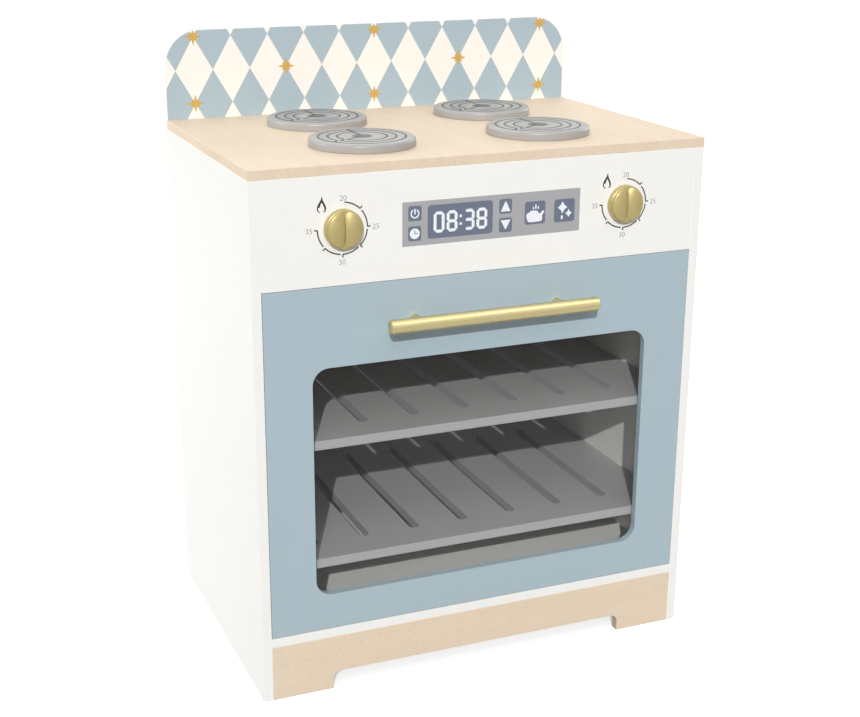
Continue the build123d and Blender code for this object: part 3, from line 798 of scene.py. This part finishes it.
def screw_maker(name):
    """Cross-recessed screws: a head whose top is at each place, with the recess at a random turn."""
    tree, given = maker_tree(
        name, "Screws", ("Outward", VECTOR), "Top Radius", "Rim Radius", "Head Height", "Shank Radius",
        "Length", "Recess Width", "Recess Span", "Recess Depth", ("Seed", WHOLE, 7))
    height, length_all, depth = (given[key] for key in ("Head Height", "Length", "Recess Depth"))
    head = out("GeometryNodeMeshCone", {
        "Vertices": 28, "Radius Top": given["Top Radius"], "Radius Bottom": given["Rim Radius"],
        "Depth": height})
    # the recess is a cross with three corners to each quarter
    index = out("GeometryNodeInputIndex", tree=tree)
    corner, quarter = index % 3.0, calc("FLOOR", index / 3.0)
    span, width = given["Recess Span"] * 0.5, given["Recess Width"] * 0.5
    corners_at = xyz(blend(span, width, corner > 1.5), width * blend(-1.0, 1.0, corner > 0.5))
    spot = out("ShaderNodeVectorRotate", {"Vector": corners_at, "Angle": quarter * QUARTER},
               rotation_type="Z_AXIS")
    cross = flat_solid(reshaped(rim(tree, 12), spot), depth * 2.0)
    cut = out("GeometryNodeMeshBoolean", {0: lifted(head, height * -1.0), 1: lifted(cross, depth * -1.0)},
              operation="DIFFERENCE")
    run = length_all - height * 0.8     # the shank reaches a little way into the head
    shank = out("GeometryNodeMeshCylinder", {"Vertices": 16, "Radius": given["Shank Radius"],
                                             "Depth": run})
    screw = together(cut, lifted(shank, run / 2.0 - length_all))
    facing = out("FunctionNodeAlignRotationToVector", {"Vector": given["Outward"]}, axis="Z")
    chance = out("FunctionNodeRandomValue", {"Min": 0.0, "Max": QUARTER, "Seed": given["Seed"]}, 1,
                 data_type="FLOAT")
    spin = out("FunctionNodeAxisAngleToRotation", {"Axis": UP, "Angle": chance})
    turned = out("FunctionNodeRotateRotation", {"Rotation": facing, "Rotate By": spin},
                 rotation_space="LOCAL")
    return close_tree(tree, repeated(given["Places"], screw, turned), given["Finish"])


# ---------------------------------------------------------------- operators
def colours():
    """The colours as the user has them."""
    return bpy.context.scene.oven_colours


def white_paint():
    """The paint of the white boards."""
    return lacquer("white_lacquer_finish", colours().white)


def steel():
    """The zinc plating of the small hardware."""
    known = bpy.data.materials.get("zinc_finish")
    return known or metal("zinc_finish", colours().steel, sheen=0.32, metallic=1.0, streak=(0.002, 0.0006))


def middle_of(name):
    """The middle of a CAD node's box."""
    low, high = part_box(name)
    return (low + high) / 2


BOARD_CORNER = 33.5             # radius of the back board's upper corners, in millimetres
DIAMOND_DROP = 0.0365           # back board's upper edge to the middle row of the diamonds' points
PRINT_LIFT = 0.05               # worktop to the print's lower edge, in millimetres
STAR_PLACES = ((0.0, -1), (0.0, 1), (-2.5, 0), (2.5, 0), (-5.0, -1), (-5.0, 1), (5.0, -1), (5.0, 1))
FLAME_PLACE = (-0.0170, 0.0200)         # from a knob's middle
DIAL_NUMBERS = {"20": (0.0008, 0.0237), "25": (0.0279, -0.0007), "30": (-0.0006, -0.0272),
                "35": (-0.0276, -0.0004)}
TYPE_THINNING = -0.06           # millimetres taken off the outline of the dial numbers
DISPLAY_PLACE = (-0.2, 0.4445)          # where its measures start: across, and under the panel's upper edge
# the display's measures are millimetres to the right and up
DISPLAY_FIELD = (125.1, 382.5, 283.2, 418.4)
DISPLAY_CLOCK = (146.8, 387.2, 203.8, 414.4)
DISPLAY_KEYS = ((130.1, 402.7, 141.5, 415.0), (130.0, 386.5, 141.3, 398.6), (209.5, 402.3, 221.0, 414.4),
                (209.6, 386.9, 221.2, 398.8), (232.7, 391.3, 251.3, 410.3), (259.6, 391.0, 278.4, 410.1))
KEY_ROUNDING, CLOCK_ROUNDING = 2.1, 2.8
POWER_SIGN = (135.8, 408.7)             # middle of the sign for on and off
POWER_RING, POWER_ENDS = (3.8, 2.75), (118, 422)        # its ring's radii, and its ends in degrees
CLOCK_SIGN, CLOCK_RADIUS = (135.65, 392.5), 4.25
ARROWS = ((215.25, 404.1, 412.3), (215.4, 397.0, 389.4))                # place, foot and tip
STEAM = ((7.7, 12.2, 14.7), (9.9, 12.3, 16.5), (12.1, 12.2, 14.9))      # place, foot and top of each wisp
STEAM_WIDTH = 1.15
# place, width and height of each sparkle, and the two ends and the width of a stroke
SPARKLES = ((267.1, 403.2, 9.0, 10.0), (272.9, 398.0, 6.0, 6.8))
SPARKLE_STROKE = (266.7, 393.1, 266.7, 396.8, 1.7)
# strokes and left edge of each numeral
TIME = (("abcdef", 151.9), ("abcdefg", 163.2), ("abcdg", 178.2), ("abcdefg", 189.4))
COLON = ((174.5, 402.7, 176.5, 404.7), (174.5, 396.4, 176.5, 398.4))
PAN_TOP = 0.72                  # flat top of a pan head, as a share of its radius
SCREWS = (      # node, body, direction driven in, head radius, head height, shank radius, countersunk
    ("back_screws", CABINET, FORWARD, 0.0032, 0.0018, 0.0015, True),
    ("burner_screws", CABINET, UP, 0.0037, 0.0023, 0.0015, False),
    ("catch_screws", CABINET, RIGHT, 0.0028, 0.0015, 0.0011, False),
    ("pane_screws", DOOR, FORWARD, 0.0028, 0.0015, 0.0011, False),
    ("handle_screws", DOOR, FORWARD, 0.0037, 0.0023, 0.0020, False),
    ("strike_screw", DOOR, FORWARD, 0.0022, 0.00075, 0.0011, True),
    ("left_knob_screw", KNOBS["left_knob"], FORWARD, 0.0037, 0.0023, 0.0015, False),
    ("right_knob_screw", KNOBS["right_knob"], FORWARD, 0.0037, 0.0023, 0.0015, False))


class OVEN_OT_cabinet(bpy.types.Operator):
    """Paint the cabinet's boards white and varnish its beech"""
    bl_idname = "oven.cabinet"
    bl_label = "Cabinet boards"

    def execute(self, context):
        tones = colours()
        paint_node(white_paint(), "left_side_panel", "right_side_panel", "control_panel", "back_panel",
                   "base_panel")
        paint_node(beech("beech_top_finish", tones.beech, tones.beech_fleck, contrast=1.25, grain="YXZ",
                         lines=0.5), "top_panel")
        paint_node(beech("beech_plinth_finish", tones.beech, tones.beech_fleck, contrast=1.15, grain="XZY",
                         lines=0.3), "plinth_board")
        return {"FINISHED"}


class OVEN_OT_racks(bpy.types.Operator):
    """Paint the racks grey and finish the pegs and dowels in bare wood"""
    bl_idname = "oven.racks"
    bl_label = "Racks, pegs and dowels"

    def execute(self, context):
        tones = colours()
        paint_node(lacquer("grey_lacquer_finish", tones.grey, sheen=0.45), "upper_rack", "lower_rack")
        paint_node(beech("dowel_wood_finish", tones.dowel, tones.dowel_fleck, contrast=1.2),
                   "rack_pegs", "stop_pegs", "dowels")
        return {"FINISHED"}


class OVEN_OT_door(bpy.types.Operator):
    """Paint the door blue and make its pane clear"""
    bl_idname = "oven.door"
    bl_label = "Door and pane"

    def execute(self, context):
        paint_node(lacquer("blue_lacquer_finish", colours().blue), "door_panel")
        paint_node(clear_sheet("clear_acrylic_finish"), "door_pane")
        return {"FINISHED"}


class OVEN_OT_hardware(bpy.types.Operator):
    """Finish the hinge pins and bushes, the catch, the strike plate and the knobs' washers"""
    bl_idname = "oven.hardware"
    bl_label = "Hinges and catch"

    def execute(self, context):
        paint_node(steel(), "left_hinge_pin", "right_hinge_pin", "strike_plate", "left_knob_washer",
                   "right_knob_washer")
        tones = colours()
        paint_node(lacquer("white_nylon_finish", tones.nylon, sheen=0.5, peel=0.0006),
                   "left_hinge_bush", "right_hinge_bush", "catch_housing")
        paint_node(lacquer("ferrite_finish", tones.ferrite, sheen=0.55, cloudiness=0.2, peel=0.0004),
                   "catch_magnet")
        return {"FINISHED"}


class OVEN_OT_plates(bpy.types.Operator):
    """Make the four hob plates and print their coils"""
    bl_idname = "oven.plates"
    bl_label = "Hob plates"

    def execute(self, context):
        hob = context.scene.oven_hob
        thickness = context.scene.oven_print.film
        paint = lacquer("hob_lacquer_finish", colours().hob, sheen=0.32)
        places = []
        for name in PLATES:
            middle = middle_of(name)
            places.append((middle.x, middle.y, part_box(name)[1].z))
            settle(smooth_copy(name, name + "_plate", paint), CABINET, "grey_lacquer", name)
        coils = grow("hob_coil_print", once("Hob coils", coil_maker), places, {
            "Outer Ring": hob.ring, "Ring Spacing": hob.pitch, "Spot": hob.spot, "Line Width": hob.line,
            "Jog Angle": hob.jog, "Step Angle": hob.step, "Lead Angle": hob.lead, "Thickness": thickness,
            "Finish": lacquer("coil_ink_finish", colours().coil, sheen=0.5)})
        settle(coils, CABINET, "grey_lacquer")
        return {"FINISHED"}


class OVEN_OT_splash(bpy.types.Operator):
    """Print the diamonds and stars on the back board"""
    bl_idname = "oven.splash"
    bl_label = "Back board print"

    def execute(self, context):
        sizes, tones = context.scene.oven_print, colours()
        face, margin = TOP_HIGH.y, sizes.margin / MM
        middle = SPLASH_HIGH.z - DIAMOND_DROP
        half, top = SPLASH_HIGH.x / MM - margin, (SPLASH_HIGH.z - sizes.margin) / MM
        bottom = TOP_HIGH.z / MM + PRINT_LIFT
        radius = BOARD_CORNER - margin
        outline = ([(-half, bottom), (half, bottom)] + arc(half - radius, top - radius, radius, 0, 90, 24)
                   + arc(-half + radius, top - radius, radius, 90, 180, 24))

        def pale(spot):
            return out("ShaderNodeGroup", {
                "Position": spot, "Width": sizes.diamond_width, "Height": sizes.diamond_height,
                "Middle": middle}, node_tree=once("Harlequin", diamond_group))

        ink = lacquer("diamond_print_finish", tones.cream, second=tones.blue, mask=pale)
        place = upright(0.0, face, 0.0)
        settle(film("splash_diamond_print", [outline], sizes.film, place, ink), CABINET, "blue_lacquer")
        spots = [(across * sizes.diamond_width, face - sizes.film, middle + up * sizes.diamond_height / 2)
                 for across, up in STAR_PLACES]
        stars = grow("splash_star_print", once("Stars", star_maker), spots, {
            "Long Points": sizes.star_long, "Short Points": sizes.star_short, "Waist": sizes.star_waist,
            "Thickness": sizes.film, "Print Top": SPLASH_HIGH.z - sizes.margin,
            "Finish": lacquer("star_ink_finish", tones.star, sheen=0.4)})
        settle(stars, CABINET, "brass_look_plastic")
        return {"FINISHED"}


class OVEN_OT_dials(bpy.types.Operator):
    """Print the scales, numbers and flames round the knobs"""
    bl_idname = "oven.dials"
    bl_label = "Dial print"

    def execute(self, context):
        sizes, tones = context.scene.oven_print, colours()
        ink = lacquer("dark_ink_finish", tones.line, sheen=0.5)
        grey_ink = lacquer("number_ink_finish", tones.number, sheen=0.5)
        face = PANEL_LOW.y
        middles = [(middle_of(name).x, face, middle_of(name).z) for name in KNOBS]
        scales = grow("dial_scale_print", once("Dial scales", dial_maker), middles, {
            "Radius": sizes.dial_radius, "Line Width": sizes.dial_line, "Tick Length": sizes.dial_tick,
            "Thickness": sizes.film, "Finish": ink})
        settle(scales, CABINET, "white_lacquer")
        flames, numbers = [], []
        for x, _, z in middles:
            place = upright(x + FLAME_PLACE[0], face, z + FLAME_PLACE[1])
            flames.append(film("flame", [flowing(FLAME, 4)], sizes.film, place, ink))
            for text, (across, up) in DIAL_NUMBERS.items():
                curve = bpy.data.curves.new("number", "FONT")
                curve.body, curve.size = text, sizes.number_size / MM
                curve.align_x, curve.align_y = "CENTER", "CENTER"
                curve.offset, curve.extrude = TYPE_THINNING, sizes.film / MM / 2
                place = upright(x + across, face, z + up)
                numbers.append(flat_piece("number", curve, sizes.film, place, grey_ink))
        settle(joined("flame_print", flames), CABINET, "white_lacquer")
        settle(joined("dial_number_print", numbers), CABINET, "white_lacquer")
        return {"FINISHED"}


class OVEN_OT_display(bpy.types.Operator):
    """Print the display with its clock and its keys"""
    bl_idname = "oven.display"
    bl_label = "Display print"

    def execute(self, context):
        sheet, tones = context.scene.oven_print.film, colours()
        place = upright(DISPLAY_PLACE[0], PANEL_LOW.y, PANEL_HIGH.z - DISPLAY_PLACE[1])
        windows = [rounded_box(*key, KEY_ROUNDING) for key in DISPLAY_KEYS]
        windows.append(rounded_box(*DISPLAY_CLOCK, CLOCK_ROUNDING))
        # on and off: a ring, open at the top, and a bar
        (x, z), (start, end) = POWER_SIGN, POWER_ENDS
        marks = [arc(x, z, POWER_RING[0], start, end, 28) + arc(x, z, POWER_RING[1], end, start, 28),
                 box(x - 0.55, z - 0.5, x + 0.55, z + 3.9)]
        # clock face with its hands left bare
        (x, z), thin = CLOCK_SIGN, 0.32
        marks += [arc(x, z, CLOCK_RADIUS, 0, 360, 36)[:-1],
                  [(x - thin, z + 3.0), (x - thin, z - thin), (x + 2.8, z - thin), (x + 2.8, z + thin),
                   (x + thin, z + thin), (x + thin, z + 3.0)]]
        # up and down
        for x, foot, tip in ARROWS:
            marks.append([(x - 4.3, foot), (x + 4.3, foot), (x + 0.35, tip), (x - 0.35, tip)])
        # roast with its steam
        x, z = DISPLAY_KEYS[4][:2]
        marks.append(moved(flowing(ROAST, 4), x, z))
        marks += [bar(x + wisp, z + low, x + wisp, z + high, STEAM_WIDTH) for wisp, low, high in STEAM]
        marks += [*(spark(*place) for place in SPARKLES), bar(*SPARKLE_STROKE)]
        # time, with its colon
        for strokes, x in TIME:
            marks += numeral(strokes, x, bottom=391.6, width=9.5, height=17.3, stroke=2.5, gap=0.08)
        marks += [box(*dot) for dot in COLON]
        for name, loops, layers, rgb, slot in (
                ("display_field_print", [box(*DISPLAY_FIELD)], 1, tones.display, "grey_lacquer"),
                ("display_window_print", windows, 2, tones.slate, "grey_lacquer"),
                ("display_mark_print", marks, 3, tones.mark, "white_lacquer")):
            ink = lacquer(name.replace("print", "finish"), rgb, sheen=0.4)
            settle(film(name, loops, sheet * layers, place, ink), CABINET, slot)
        return {"FINISHED"}


class OVEN_OT_knobs(bpy.types.Operator):
    """Make the two knobs in brass-look plastic"""
    bl_idname = "oven.knobs"
    bl_label = "Knobs"

    def execute(self, context):
        gold = metal("brass_look_plastic_finish", colours().gold, sheen=0.36, metallic=0.55,
                     streak=(0.0007, 0.0007))
        for name, body in KNOBS.items():
            settle(smooth_copy(name, name + "_grip", gold), body, "brass_look_plastic", name)
        return {"FINISHED"}


class OVEN_OT_handle(bpy.types.Operator):
    """Make the door's bar handle and its posts in satin brass"""
    bl_idname = "oven.handle"
    bl_label = "Bar handle"

    def execute(self, context):
        brass = metal("brass_look_metal_finish", colours().brass, sheen=0.27, metallic=0.9)
        for name in ("handle_bar", "left_handle_post", "right_handle_post"):
            settle(smooth_copy(name, name + "_turned", brass), DOOR, "brass_look_metal", name)
        return {"FINISHED"}


class OVEN_OT_screws(bpy.types.Operator):
    """Drive all the screws: countersunk ones and ones with pan heads"""
    bl_idname = "oven.screws"
    bl_label = "Screws"

    def drive(self, sizes, node_name, body, inward, head, height, shank, countersunk):
        """Puts screws where a node has them, driven along a direction."""
        axis = max(range(3), key=lambda n: abs(inward[n]))
        places = []
        for low, high in islands(node_name):
            point = (low + high) / 2
            point[axis] = low[axis] if inward[axis] > 0 else high[axis]
            places.append(point)
            full = high[axis] - low[axis]
        top, edge = (head, shank) if countersunk else (head * PAN_TOP, head)
        made = grow(node_name + "_driven", once("Cross-head screws", screw_maker), places, {
            "Outward": [-part for part in inward], "Top Radius": top, "Rim Radius": edge,
            "Head Height": height, "Shank Radius": shank, "Length": full,
            "Recess Width": top * sizes.recess_width, "Recess Span": top * sizes.recess_span,
            "Recess Depth": height * sizes.recess_depth, "Finish": steel()})
        soften(made.data, degrees=24.0)
        settle(made, body, "zinc_steel", node_name)

    def execute(self, context):
        for screw in SCREWS:
            self.drive(context.scene.oven_screws, *screw)
        return {"FINISHED"}


SENSOR = 36.0                   # camera's sensor width, in millimetres
LAMPS = (       # name, place, the point it looks at, its strength's name, and its size or the sun's angle
    ("key", (-0.455, -1.0, 0.607), (0.0, 0.0, 0.0), "sun", math.radians(0.7)),
    ("front_box", (-0.75, -2.35, 2.0), (0.0, -0.1, 0.3), "front_box", (1.9, 1.9)),
    ("fill_box", (0.85, -1.1, 2.2), (0.0, -0.1, 0.3), "fill_box", (1.7, 1.4)),
    ("left_box", (-1.9, 0.75, 0.75), (0.0, 0.05, 0.25), "side_box", (1.5, 1.6)),
    ("top_box", (0.1, 0.75, 1.9), (0.0, 0.1, 0.4), "top_box", (1.8, 1.4)),
    ("right_box", (1.9, 0.75, 0.8), (0.0, 0.05, 0.25), "right_box", (1.4, 1.4)),
    ("rear_box", (0.2, 2.1, 0.9), (0.0, 0.1, 0.25), "rear_box", (1.8, 1.4)))
FLOOR_SIDE = 12.0               # middle of the floor to its sides
FLOOR_LIFT = (0.48, 0.64)       # light added to the floor where it is seen, near the oven and far away
FLOOR_REACH = (0.6, 2.4)        # distances over which that light grows
MIRRORED = {"floor": 0.35, "room": 0.9}         # share of what is seen that shows in paint and metal
WHITE = (1.0, 1.0, 1.0, 1.0)


class OVEN_OT_studio(bpy.types.Operator):
    """Set the camera, a pale floor, a key lamp and soft boxes"""
    bl_idname = "oven.studio"
    bl_label = "Studio"

    def lamp(self, name, place, aim, power, size):
        """A lamp that looks from its place towards a point."""
        light = bpy.data.lights.new(name, "AREA" if isinstance(size, tuple) else "SUN")
        light.energy = power
        if light.type == "SUN":
            light.angle = size
        else:
            light.shape, (light.size, light.size_y) = "RECTANGLE", size
        made = link(name, light)
        made.location = place
        made.rotation_euler = (Vector(aim) - Vector(place)).to_track_quat("-Z", "Y").to_euler()
        made.visible_camera = False

    def execute(self, context):
        studio, scene = context.scene.oven_studio, context.scene
        camera = bpy.data.cameras.new("camera")
        camera.lens, camera.sensor_width = studio.lens, SENSOR
        camera.shift_x, camera.shift_y = studio.shift_right, studio.shift_up
        holder = link("camera", camera)
        flat = math.cos(studio.pitch)
        sight = Vector((math.sin(studio.bearing) * flat, math.cos(studio.bearing) * flat,
                        -math.sin(studio.pitch)))
        holder.location = studio.stand
        holder.rotation_euler = sight.to_track_quat("-Z", "Y").to_euler()
        scene.camera = holder
        for name, place, aim, power, size in LAMPS:
            self.lamp(name, place, aim, getattr(studio, power), size)
        mesh = bpy.data.meshes.new("studio_floor")
        mesh.from_pydata([(x, y, 0.0) for x, y in box(-FLOOR_SIDE, -FLOOR_SIDE, FLOOR_SIDE, FLOOR_SIDE)],
                         [], [(0, 1, 2, 3)])
        floor = link("studio_floor", mesh)
        mesh.materials.append(self.floor_finish(with_alpha(studio.floor), with_alpha(studio.dull_floor)))
        floor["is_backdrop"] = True
        self.room(scene, studio.sky)
        scene.view_settings.view_transform = "Standard"
        return {"FINISHED"}

    def seen(self, tree, mirror):
        """1 for camera and glass rays, a given share for mirror rays and 0 for the rest."""
        path = node("ShaderNodeLightPath", tree=tree).outputs
        camera, glass, glossy = (Wire(path["Is " + ray]) for ray in (
            "Camera Ray", "Transmission Ray", "Glossy Ray"))
        return calc("MULTIPLY_ADD", glossy, mirror, camera + glass, clamp=True)

    def floor_finish(self, pale, dull):
        """A pale floor, lifted where it is seen and more so far away, that keeps shadows."""
        made = bpy.data.materials.new("studio_floor_finish")
        made.use_nodes = True
        tree = made.node_tree
        tree.nodes.clear()
        spot = out("ShaderNodeTexCoord", which="Object", tree=tree)
        away = out("ShaderNodeVectorMath", {0: spot}, "Value", operation="LENGTH")
        strength = blend(*FLOOR_LIFT, step(away, *FLOOR_REACH))
        shown, dark = (out("ShaderNodeBsdfDiffuse", {"Color": tone}, tree=tree) for tone in (pale, dull))
        lift = out("ShaderNodeEmission", {"Color": WHITE, "Strength": strength})
        bright = out("ShaderNodeAddShader", {0: shown, 1: lift})
        both = out("ShaderNodeMixShader", {0: self.seen(tree, MIRRORED["floor"]), 1: dark, 2: bright})
        node("ShaderNodeOutputMaterial", {"Surface": both})
        return made

    def room(self, scene, strength):
        """Even room light that looks white where it is seen."""
        world = bpy.data.worlds.new("room")
        world.use_nodes = True
        scene.world = world
        tree = world.node_tree
        tree.nodes.clear()
        power = blend(strength, 1.0, self.seen(tree, MIRRORED["room"]))
        light = out("ShaderNodeBackground", {"Color": WHITE, "Strength": power})
        node("ShaderNodeOutputWorld", {"Surface": light})


class VIEW3D_PT_oven(bpy.types.Panel):
    """The oven's pieces in the order they are made"""
    bl_label = "Toy Oven"
    bl_idname = "VIEW3D_PT_oven"
    bl_space_type = "VIEW_3D"
    bl_region_type = "UI"
    bl_category = "Toy Oven"

    def draw(self, context):
        for made in OPERATORS:
            self.layout.operator(made.bl_idname)


GROUPS = {"oven_colours": OvenColours, "oven_print": OvenPrint, "oven_hob": OvenHob,
          "oven_screws": OvenScrews, "oven_studio": OvenStudio}
OPERATORS = (OVEN_OT_studio, OVEN_OT_cabinet, OVEN_OT_racks, OVEN_OT_door, OVEN_OT_hardware, OVEN_OT_plates,
             OVEN_OT_splash, OVEN_OT_dials, OVEN_OT_display, OVEN_OT_knobs, OVEN_OT_handle, OVEN_OT_screws)


def register():
    """Registers the classes and puts the user's values on the scene."""
    for made in (*GROUPS.values(), *OPERATORS, VIEW3D_PT_oven):
        bpy.utils.register_class(made)
    for name, group in GROUPS.items():
        setattr(bpy.types.Scene, name, bpy.props.PointerProperty(type=group))


def unregister():
    """Takes the values and the classes away again."""
    for name in GROUPS:
        delattr(bpy.types.Scene, name)
    for made in reversed((*GROUPS.values(), *OPERATORS, VIEW3D_PT_oven)):
        bpy.utils.unregister_class(made)


def corners(box):
    """A box as plain lists of numbers."""
    return [[float(part) for part in corner] for corner in box]


def main():
    """Makes the oven and its stage."""
    register()
    sizes = {"cad": corners(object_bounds())}
    bpy.ops.oven.studio()
    bpy.ops.oven.cabinet()
    bpy.ops.oven.racks()
    bpy.ops.oven.door()
    bpy.ops.oven.hardware()
    bpy.ops.oven.plates()
    bpy.ops.oven.splash()
    bpy.ops.oven.dials()
    bpy.ops.oven.display()
    bpy.ops.oven.knobs()
    bpy.ops.oven.handle()
    bpy.ops.oven.screws()
    sizes["visual"] = corners(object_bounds())


if __name__ == "__main__":
    main()
